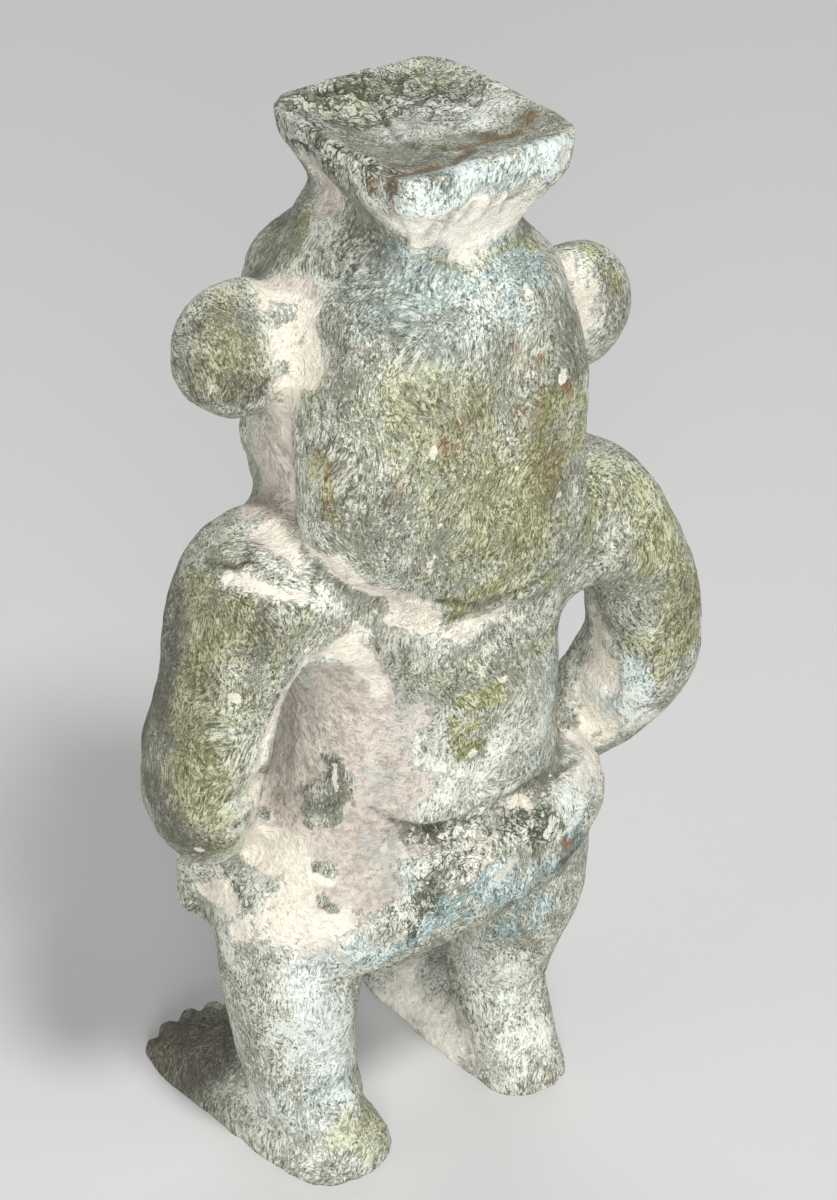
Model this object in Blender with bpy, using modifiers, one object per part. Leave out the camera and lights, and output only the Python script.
"""Statuette of a dwarf god, moulded in one piece: a square block stands on its head, a long hair panel
hangs down its back, its hands rest on its hips, and it stands on two flat wedge-shaped feet.

The figure faces -Y, its left side is +X, and the soles lie on Z = 0.
Metres. Run with: blender --background --python part.py
"""

import math

import bmesh
import bpy
import numpy as np
from mathutils import Matrix

# Driving size: the height from the soles to the highest corner of the head block.
HEIGHT = 0.120

# The figure is laid out on a sculptor's grid, 120 squares high. Every number of the free form below
# is in squares of this grid, so that the pose and the proportions are shares of the height.
SQUARES_HIGH = 120.0
SQUARE = HEIGHT / SQUARES_HIGH

# How finely the clay is worked: the grain of the first, blended masses and of the finished surface,
# and how often each is rubbed smooth.
ROUGH_GRAIN = 1.1
ROUGH_STROKES = 9
FINE_GRAIN = 0.75
FINE_STROKES = 2
LAST_STROKES = 2
RUB_STRENGTH = 0.5
TRIANGLES = 9300

# How finely each mass is divided: sides round a section, rings between stations, rings in a rounded end.
RING_SIDES = 32
RINGS_BETWEEN = 6
DOME_RINGS = 5
DOME_REACH = 0.75
DOME_TIP = 0.04

# Carving, in squares: where each cut lies, how deep it goes, how wide a lock, finger and toe are, and
# how soft the ends of a cut are.
DISH_DEPTH = 2.0
DISH_RIM = 1.7
DISH_SOLE = 2.9
DISH_LIP = 0.9
BELT_HEIGHT = 43.2
BELT_CURL = 0.011
BELT_DEPTH = 1.3
BELT_WIDTH = 2.2
BEARD_TIP = 70.0
BEARD_TOP = 86.5
BEARD_FRONT = 12.0
LOCK_DEPTH = 0.9
LOCK_WIDTH = 3.2
KNUCKLES = 37.0
FINGER_TIPS = 25.5
FINGERS_FRONT = 9.0
FIRST_FINGER = 15.6
FINGER_DEPTH = 0.8
FINGER_WIDTH = 2.6
TOE_ROOT = 17.0
TOE_HEIGHT = 9.0
BIG_TOE = 6.4
TOE_DEPTH = 0.9
TOE_WIDTH = 3.2
SOFT_EDGE = 2.0

# Worn blue-green glaze over a cream body, seen as one mean colour.
GLAZE_COLOUR = (0.36, 0.39, 0.31, 1.0)
GLAZE_ROUGHNESS = 0.72


def smooth_rows(rows, between):
    """The rows of a table with more rows between them, on a curve that passes through each (Catmull-Rom)."""
    rows = np.array(rows, float)
    before = np.vstack([2 * rows[0] - rows[1], rows[:-2]])
    after = np.vstack([rows[2:], 2 * rows[-1] - rows[-2]])
    made = []
    for p0, p1, p2, p3 in zip(before, rows[:-1], rows[1:], after):
        for t in np.arange(between) / between:
            made.append(
                p1
                + 0.5 * t * (p2 - p0)
                + t * t * (p0 - 2.5 * p1 + 2 * p2 - 0.5 * p3)
                + t**3 * (1.5 * (p1 - p2) + 0.5 * (p3 - p0))
            )
    made.append(rows[-1])
    return np.array(made)


def unit(vectors):
    """The vectors, each brought to length 1."""
    return vectors / np.linalg.norm(vectors, axis=-1, keepdims=True)


def domed(rows):
    """Rows with a rounded end added at both ends: the sections shrink as a quarter circle does."""
    ends = []
    for end, inner in ((rows[0], rows[1]), (rows[-1], rows[-2])):
        outward = unit(end[:3] - inner[:3])
        reach = DOME_REACH * min(end[3], end[4])
        cap = []
        for angle in np.linspace(0, 0.5 * math.pi, DOME_RINGS + 1)[1:]:
            row = end.copy()
            row[:3] = end[:3] + outward * reach * math.sin(angle)
            row[3:5] = end[3:5] * max(math.cos(angle), DOME_TIP)
            cap.append(row)
        ends.append(cap)
    return np.vstack([ends[0][::-1], rows, ends[1]])


def section_rings(rows, across, level):
    """The points of each section, as rings. Sections lie across the path, or flat where level is set."""
    centres = rows[:, :3]
    along = unit(np.gradient(centres, axis=0))
    if level:
        along = np.broadcast_to([0.0, 0.0, 1.0], along.shape)
    wide = unit(np.array(across, float) - along * (along @ np.array(across, float))[:, None])
    deep = np.cross(along, wide)
    turn = np.arange(RING_SIDES) * (2 * math.pi / RING_SIDES)
    power = 2 / rows[:, 5:6]
    u = np.sign(np.cos(turn)) * np.abs(np.cos(turn)) ** power * rows[:, 3:4]
    v = np.sign(np.sin(turn)) * np.abs(np.sin(turn)) ** power * rows[:, 4:5]
    return centres[:, None] + u[..., None] * wide[:, None] + v[..., None] * deep[:, None]


def sweep(name, stations, level=False, flat_ends=False, lean=0.0, skew=0.0):
    """A closed mass along a path. Each station is (x, y, z, half width, half depth, squareness) in squares:
    a superellipse, where squareness 2 is an ellipse and 6 nearly a rectangle. Lean raises the left side
    of each section and skew moves it back, both as a share of x."""
    rows = smooth_rows(stations, RINGS_BETWEEN)
    if not flat_ends:
        rows = domed(rows)
    points = section_rings(rows, (1, 0, 0), level)
    points[..., 2] += lean * points[..., 0]
    points[..., 1] += skew * points[..., 0]
    mesh = bmesh.new()
    rings = [[mesh.verts.new(p * SQUARE) for p in ring] for ring in points]
    for low, high in zip(rings, rings[1:]):
        for i in range(RING_SIDES):
            j = (i + 1) % RING_SIDES
            mesh.faces.new((low[i], low[j], high[j], high[i]))
    mesh.faces.new(rings[0][::-1])
    mesh.faces.new(rings[-1])
    return finished(name, mesh)


def ball(name, centre, radii, turn_deg=(0, 0, 0)):
    """An ellipsoid, turned about its own centre."""
    mesh = bmesh.new()
    bmesh.ops.create_uvsphere(mesh, u_segments=RING_SIDES, v_segments=RING_SIDES // 2, radius=1)
    obj = finished(name, mesh)
    obj.location = [c * SQUARE for c in centre]
    obj.scale = [r * SQUARE for r in radii]
    obj.rotation_euler = [math.radians(d) for d in turn_deg]
    return obj


def finished(name, mesh):
    """A new object in the scene from a bmesh."""
    bmesh.ops.recalc_face_normals(mesh, faces=mesh.faces)
    data = bpy.data.meshes.new(name)
    mesh.to_mesh(data)
    mesh.free()
    obj = bpy.data.objects.new(name, data)
    bpy.context.scene.collection.objects.link(obj)
    return obj


# The masses, from the ground up. x, y, z, half width, half depth, squareness.

LEFT_LEG = [
    (14.0, 1.0, 33, 8.8, 9.6, 2.2),
    (14.6, 1.4, 25, 8.0, 8.8, 2.2),
    (14.4, 1.2, 18, 7.4, 7.8, 2.2),
    (13.8, 1.4, 12, 6.8, 7.0, 2.2),
    (13.0, 2.8, 6, 6.2, 7.0, 2.2),
    (12.2, 3.8, -2, 6.2, 7.2, 2.2),
]
RIGHT_LEG = [
    (-14.5, 1.0, 33, 8.8, 9.4, 2.2),
    (-15.0, 1.2, 25, 7.8, 8.6, 2.2),
    (-14.0, 1.0, 18, 6.6, 6.8, 2.2),
    (-13.2, 0.8, 12, 5.8, 5.8, 2.2),
    (-14.2, 2.0, 6, 6.0, 6.2, 2.2),
    (-15.0, 2.4, -2, 6.2, 6.6, 2.2),
]
LEFT_FOOT = [
    (11.6, 7.8, -1, 7.0, 6.8, 2.3),
    (12.8, 1.0, -1, 7.7, 9.0, 2.1),
    (13.8, -6.0, -1, 7.8, 8.4, 2.1),
    (14.4, -13.0, -1, 8.8, 6.4, 2.3),
    (14.6, -20.0, -1, 8.8, 4.6, 2.4),
]
RIGHT_FOOT = [
    (-14.8, 6.0, -1, 5.8, 6.4, 2.3),
    (-14.4, 0.0, -1, 6.6, 8.6, 2.1),
    (-14.6, -7.0, -1, 7.8, 8.2, 2.1),
    (-15.2, -14.0, -1, 8.8, 6.4, 2.3),
    (-15.6, -20.5, -1, 8.8, 4.6, 2.4),
]
TRUNK = [
    (-1.0, 1.8, 36, 17.5, 11.0, 2.3),
    (-1.0, 1.3, 43, 18.4, 11.0, 2.3),
    (-1.0, 1.2, 50, 16.6, 11.2, 2.3),
    (-1.0, 1.2, 58, 16.2, 11.4, 2.3),
    (-0.5, 1.0, 64, 16.4, 11.4, 2.6),
    (0, 0.8, 68, 18.5, 11.8, 3.4),
    (0, 0.8, 72, 21.5, 11.6, 3.6),
    (0, 0.5, 77, 21.0, 10.4, 3.2),
    (0, 0.0, 81, 13.0, 7.0, 2.4),
]
KILT = [
    (-1.0, 1.0, 28.4, 19.5, 10.8, 2.5),
    (-1.0, 1.6, 30.8, 21.0, 12.2, 2.4),
    (-1.4, 2.0, 35.0, 22.7, 13.2, 2.3),
    (-1.4, 1.8, 39.5, 21.7, 12.4, 2.3),
    (-1.0, 1.4, 44.0, 18.4, 10.8, 2.3),
]
KILT_LEAN = -0.15
LEFT_ARM = [
    (13.0, 2.5, 74.6, 6.2, 8.0, 2.2),
    (19.2, 2.3, 74.6, 6.6, 8.4, 2.6),
    (22.3, 3.0, 69.6, 6.4, 8.4, 2.5),
    (24.3, 3.4, 63.0, 5.6, 8.2, 2.3),
    (26.2, 3.0, 54.6, 6.1, 8.0, 2.2),
    (24.9, 0.2, 47.9, 5.7, 6.8, 2.2),
    (20.2, -4.7, 42.6, 4.5, 4.9, 2.2),
    (19.0, -8.1, 35.0, 4.5, 4.3, 2.2),
    (18.9, -8.7, 29.0, 4.5, 3.7, 2.2),
]
RIGHT_ARM = [
    (-14.0, 2.5, 75.0, 6.2, 8.0, 2.2),
    (-20.5, 2.5, 74.5, 6.6, 8.2, 2.2),
    (-25.7, 3.0, 68.2, 6.0, 8.2, 2.2),
    (-29.2, 3.2, 60.0, 6.0, 7.8, 2.2),
    (-29.6, 2.2, 52.0, 6.0, 7.5, 2.2),
    (-27.0, -1.2, 44.8, 5.5, 6.5, 2.2),
    (-23.4, -4.8, 39.5, 5.2, 5.4, 2.2),
    (-20.8, -7.5, 34.5, 5.0, 4.4, 2.2),
    (-19.8, -8.5, 30.5, 4.6, 3.6, 2.2),
]
HEAD = [
    (0, -5.5, 75, 12.5, 12.5, 2.2),
    (0, -3.8, 80, 14.2, 14.6, 2.2),
    (0, -2.6, 87, 15.4, 15.6, 2.2),
    (0, -1.6, 95, 15.8, 16.2, 2.2),
    (0.3, -1.0, 102, 15.9, 16.2, 2.3),
    (0.4, -0.8, 105.8, 14.4, 14.6, 2.3),
    (0.4, -0.4, 108.6, 11.0, 11.2, 2.3),
]
HAIR_PANEL = [
    (-3.4, 12.0, 71.6, 7.8, 1.9, 2.2),
    (-2.4, 11.2, 74.0, 11.8, 2.9, 2.4),
    (-0.4, 10.2, 77.5, 15.2, 4.3, 2.5),
    (1.2, 9.2, 82, 16.2, 5.7, 2.6),
    (1.2, 8.2, 88, 16.4, 7.0, 2.6),
    (0.5, 6.8, 95, 16.0, 8.4, 2.6),
    (0, 5.2, 102, 14.0, 8.6, 2.3),
    (0, 3.6, 106.5, 10.0, 7.8, 2.3),
]
BEARD = [
    (0, -16.4, 68.5, 4.0, 2.4, 2.2),
    (0, -15.2, 72.0, 8.0, 4.2, 2.2),
    (0, -14.0, 77.0, 11.0, 5.6, 2.2),
    (0, -13.0, 82.5, 12.6, 5.6, 2.3),
    (0, -11.5, 87.0, 12.6, 5.0, 2.3),
]
HEAD_BLOCK = [
    (0, 1.2, 103.0, 8.5, 10.0, 4.0),
    (0, 0.8, 107.5, 7.8, 9.8, 6.0),
    (0, 0.8, 111.0, 8.0, 10.6, 6.0),
    (-0.3, 0.9, 113.6, 9.8, 12.2, 5.0),
    (-0.4, 0.9, 116.2, 11.9, 13.7, 5.0),
    (-0.3, 0.6, 119.97, 12.2, 13.9, 6.0),
]
HEAD_BLOCK_SKEW = 0.17


def paired(name, centre, radii, turn_deg=(0, 0, 0), right_shift=(0, 0, 0)):
    """A left ellipsoid and its mirror image on the right, the right one moved by a small shift."""
    x, y, z = centre
    rx, ry, rz = turn_deg
    right = (-x + right_shift[0], y + right_shift[1], z + right_shift[2])
    return [
        ball("left_" + name, centre, radii, turn_deg),
        ball("right_" + name, right, radii, (rx, -ry, -rz)),
    ]


def gathered(name, objects):
    """One object that holds all the masses, still as separate closed bodies that overlap."""
    pile = bmesh.new()
    for obj in objects:
        obj.data.transform(obj.matrix_basis)
        pile.from_mesh(obj.data)
        bpy.data.objects.remove(obj, do_unlink=True)
    return finished(name, pile)


def applied(obj):
    """The object with its modifiers made part of its mesh."""
    bpy.context.view_layer.update()
    graph = bpy.context.evaluated_depsgraph_get()
    mesh = bpy.data.meshes.new_from_object(obj.evaluated_get(graph))
    obj.modifiers.clear()
    obj.data = mesh
    return obj


def rub(obj, strokes):
    """Rubs the skin smooth with a number of strokes."""
    rubbed = obj.modifiers.new("rubbed", "SMOOTH")
    rubbed.factor = RUB_STRENGTH
    rubbed.iterations = round(strokes)


def fused(obj, grain, strokes):
    """Overlapping bodies pressed into one skin, then rubbed smooth with a number of strokes."""
    remesh = obj.modifiers.new("one_skin", "REMESH")
    remesh.mode = "VOXEL"
    remesh.voxel_size = grain * SQUARE
    rub(obj, strokes)
    return applied(obj)


def bump(distance, width):
    """1 at distance 0, falling smoothly to 0 at the width."""
    t = np.clip(np.abs(distance) / width, 0, 1)
    return (1 - t * t) ** 2


def rise(value, low, high):
    """0 below low, 1 above high, and a smooth step between them."""
    t = np.clip((value - low) / (high - low), 0, 1)
    return t * t * (3 - 2 * t)


def carved(obj):
    """Works the skin along its normals: the dished top, the belt line, beard locks, fingers and toes."""
    mesh = obj.data
    count = len(mesh.vertices)
    points = np.empty(count * 3, np.float32)
    mesh.vertices.foreach_get("co", points)
    points = points.reshape(-1, 3).astype(float) / SQUARE
    normals = np.empty(count * 3, np.float32)
    mesh.vertices.foreach_get("normal", normals)
    normals = normals.reshape(-1, 3).astype(float)
    depth = np.zeros(count)
    x, y, z = points.T
    for cut in CUTS:
        depth += cut(x, y, z)
    points -= normals * depth[:, None]
    mesh.vertices.foreach_set("co", (points * SQUARE).astype(np.float32).ravel())
    mesh.update()
    return obj


def dished_top(x, y, z):
    """The top of the head block sinks in the middle and keeps its rim."""
    side, middle, top, half_width, half_depth, _ = HEAD_BLOCK[-1]
    across = 1 - (np.abs(x - side) / (half_width - DISH_RIM)) ** 4
    along = 1 - (np.abs(y - HEAD_BLOCK_SKEW * x - middle) / (half_depth - DISH_RIM)) ** 4
    return DISH_DEPTH * np.clip(across, 0, 1) * np.clip(along, 0, 1) * rise(z, top - DISH_SOLE, top - DISH_LIP)


def belt_line(x, y, z):
    """A groove between the trunk and the kilt that curls up at both flanks, shallower over the belly."""
    middle = TRUNK[0][0]
    line = BELT_HEIGHT + BELT_CURL * (x - middle) ** 2
    behind = rise(y, 0.5, 3.0) * rise(x, -21.5, -19.5) * rise(-x, -10.0, -6.0)
    before = rise(-y, 8.0, 9.5) * rise(-np.abs(x - middle), -16.0, -13.0)
    return BELT_DEPTH * (behind + 0.6 * before) * bump(z - line, BELT_WIDTH)


def beard_locks(x, y, z):
    """Upright grooves that part the beard into locks."""
    on_beard = rise(-y, BEARD_FRONT, BEARD_FRONT + SOFT_EDGE) * rise(z, BEARD_TIP, BEARD_TIP + 3)
    parting = (1 - np.abs(np.cos(math.pi * x / LOCK_WIDTH))) ** 1.5
    return LOCK_DEPTH * on_beard * rise(-z, -BEARD_TOP, -BEARD_TOP + SOFT_EDGE) * parting


def partings(x, first, width):
    """1 along the lines between fingers or toes of equal width, counted outwards from the first."""
    return bump(np.mod(np.abs(x) - first, width) - width / 2, 0.35 * width)


def finger_gaps(x, y, z):
    """Grooves that part the fingers, which lie down the front of each thigh."""
    on_hand = rise(-y, FINGERS_FRONT, FINGERS_FRONT + SOFT_EDGE) * rise(z, FINGER_TIPS, FINGER_TIPS + 1)
    on_hand *= rise(-z, -KNUCKLES, -KNUCKLES + SOFT_EDGE) * rise(np.abs(x), FIRST_FINGER - 2, FIRST_FINGER - 0.5)
    return FINGER_DEPTH * on_hand * partings(x, FIRST_FINGER, FINGER_WIDTH)


def toe_gaps(x, y, z):
    """Grooves that part the toes."""
    on_toes = rise(-y, TOE_ROOT, TOE_ROOT + 3.5) * rise(-z, -TOE_HEIGHT, -TOE_HEIGHT + SOFT_EDGE)
    return TOE_DEPTH * on_toes * partings(x, BIG_TOE, TOE_WIDTH)


CUTS = [dished_top, belt_line, beard_locks, finger_gaps, toe_gaps]


def body_masses():
    """The masses that run into each other with soft joins."""
    return [
        sweep("left_leg", LEFT_LEG, level=True),
        sweep("right_leg", RIGHT_LEG, level=True),
        sweep("left_foot", LEFT_FOOT),
        sweep("right_foot", RIGHT_FOOT),
        sweep("trunk", TRUNK, level=True),
        sweep("left_arm", LEFT_ARM),
        sweep("right_arm", RIGHT_ARM),
        sweep("head", HEAD, level=True),
        ball("belly", (-0.5, -5.0, 50), (13.0, 10.5, 10.5)),
        *paired("shoulder_blade", (17.5, 3.6, 73.5), (9.5, 8.2, 7.6), right_shift=(0, 0, -1.5)),
        *paired("breast", (7.5, -8.5, 65), (6.5, 3.6, 5.0)),
        *paired("ear_root", (15.5, -0.5, 98.5), (4.5, 3.6, 7.0), right_shift=(0, 0, -3.5)),
    ]


def worked_masses():
    """The masses laid on afterwards, whose edges stay clear."""
    return [
        sweep("kilt", KILT, level=True, flat_ends=True, lean=KILT_LEAN),
        sweep("hair_panel", HAIR_PANEL, level=True),
        sweep("head_block", HEAD_BLOCK, level=True, flat_ends=True, skew=HEAD_BLOCK_SKEW),
        ball("block_lobe", (6.9, -9.4, 118.0), (3.4, 3.4, 2.2)),
        sweep("beard", BEARD, level=True),
        *paired("ear", (19.2, -1.0, 98.7), (7.3, 5.2, 7.2), right_shift=(-0.9, 0, -3.7)),
        *paired("brow", (5.4, -16.2, 99.8), (5.2, 2.2, 1.6), (0, 6, 18)),
        *paired("eye", (5.4, -16.6, 96.4), (2.9, 1.7, 1.5), (0, 0, 18)),
        *paired("cheek", (8.4, -14.0, 91.2), (4.2, 3.2, 3.6)),
        ball("nose_bridge", (0, -17.4, 96.8), (1.6, 2.0, 4.0)),
        ball("nose", (0, -18.4, 92.8), (3.2, 2.4, 2.4)),
        *paired("moustache", (3.0, -17.4, 89.2), (3.6, 1.9, 1.3), (0, 8, 12)),
        ball("lower_lip", (0, -17.8, 87.0), (2.6, 1.6, 0.9)),
    ]


def glazed_clay():
    """The worn glaze, matt and not metallic."""
    material = bpy.data.materials.new("worn_glaze")
    material.use_nodes = True
    shader = material.node_tree.nodes["Principled BSDF"]
    shader.inputs["Base Color"].default_value = GLAZE_COLOUR
    shader.inputs["Roughness"].default_value = GLAZE_ROUGHNESS
    shader.inputs["Metallic"].default_value = 0.0
    return material


def build():
    """Models the figure as one closed solid in a collection of its own."""
    for old in list(bpy.data.objects):
        bpy.data.objects.remove(old, do_unlink=True)
    body = fused(gathered("body", body_masses()), ROUGH_GRAIN, ROUGH_STROKES)
    figure = fused(gathered("statuette", [body, *worked_masses()]), FINE_GRAIN, FINE_STROKES)
    figure = carved(figure)
    rub(figure, LAST_STROKES)
    fewer = figure.modifiers.new("fewer_faces", "DECIMATE")
    fewer.ratio = TRIANGLES / (2 * len(figure.data.polygons))
    figure = applied(figure)
    figure.name = "statuette"
    stood_flat(figure)
    centred(figure)
    figure.data.shade_smooth()
    figure.data.materials.append(glazed_clay())
    collection = bpy.data.collections.new("god_statuette")
    bpy.context.scene.collection.children.link(collection)
    bpy.context.scene.collection.objects.unlink(figure)
    collection.objects.link(figure)


def centred(obj):
    """Puts the middle of the figure's width and depth over the origin."""
    corners = np.array([v.co for v in obj.data.vertices])
    low = corners.min(axis=0)
    high = corners.max(axis=0)
    obj.data.transform(Matrix.Translation((-(low[0] + high[0]) / 2, -(low[1] + high[1]) / 2, 0)))


def stood_flat(obj):
    """Cuts the soles off flat at Z = 0."""
    mesh = bmesh.new()
    mesh.from_mesh(obj.data)
    everything = mesh.verts[:] + mesh.edges[:] + mesh.faces[:]
    cut = bmesh.ops.bisect_plane(
        mesh, geom=everything, dist=0.001 * SQUARE, plane_co=(0, 0, 0), plane_no=(0, 0, 1), clear_inner=True
    )
    rim = [item for item in cut["geom_cut"] if isinstance(item, bmesh.types.BMEdge)]
    bmesh.ops.holes_fill(mesh, edges=rim, sides=0)
    bmesh.ops.triangulate(mesh, faces=[face for face in mesh.faces if len(face.verts) > 3])
    bmesh.ops.recalc_face_normals(mesh, faces=mesh.faces)
    mesh.to_mesh(obj.data)
    mesh.free()


build()
